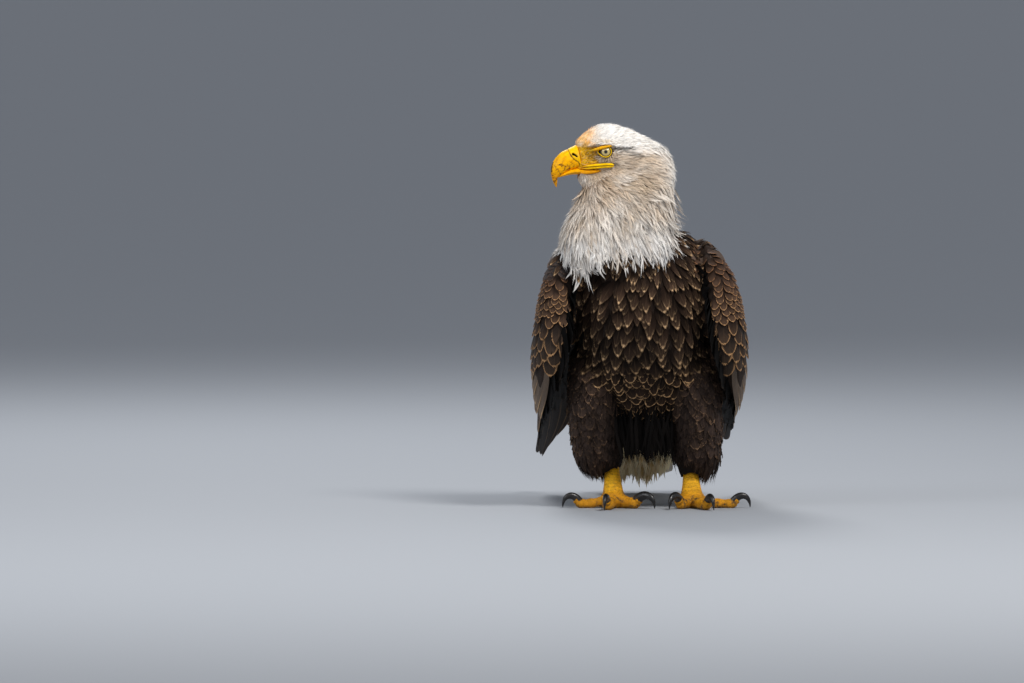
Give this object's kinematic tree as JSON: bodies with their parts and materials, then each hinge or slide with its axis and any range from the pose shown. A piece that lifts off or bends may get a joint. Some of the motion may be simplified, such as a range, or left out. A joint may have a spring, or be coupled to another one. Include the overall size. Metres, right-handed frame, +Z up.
{
  "type": "bald eagle model",
  "caption": "Life-size still model of a standing adult bald eagle with its head turned to the right, as for a museum display.",
  "frame": {"origin": "on the floor, under the middle of the bounding box", "axes": "+Z up, -Y the way the body faces, +X the bird's left side"},
  "size_m": [0.3082, 0.564, 0.5441],
  "materials": {
    "white_feather": "soft white feathers, satin",
    "brown_feather": "dark brown feathers with pale tawny edges, satin",
    "flight_feather": "blackish brown flight feathers, smooth satin",
    "bill": "smooth yellow horn, slightly glossy, a little soiled",
    "claw": "black horn, glossy",
    "foot": "scaly yellow skin, dull",
    "eye": "wet glassy eye, pale cream iris"
  },
  "bodies": {
    "root": {"bill_lower": "bill", "bill_upper": "bill", "claw_left_1": "claw", "claw_left_2": "claw", "claw_left_3": "claw", "claw_left_4": "claw", "claw_right_1": "claw", "claw_right_2": "claw", "claw_right_3": "claw", "claw_right_4": "claw", "eye_left": "eye", "eye_right": "eye", "foot_left": "foot", "foot_right": "foot", "gape_left": "bill", "gape_right": "bill", "head": "white_feather", "neck": "white_feather", "primaries_left": "flight_feather", "primaries_right": "flight_feather", "tail": "white_feather", "thigh_left": "brown_feather", "thigh_right": "brown_feather", "toe_left_1": "foot", "toe_left_2": "foot", "toe_left_3": "foot", "toe_left_4": "foot", "toe_right_1": "foot", "toe_right_2": "foot", "toe_right_3": "foot", "toe_right_4": "foot", "trunk": "brown_feather", "wing_left": "brown_feather", "wing_right": "brown_feather"}
  },
  "joints": []
}
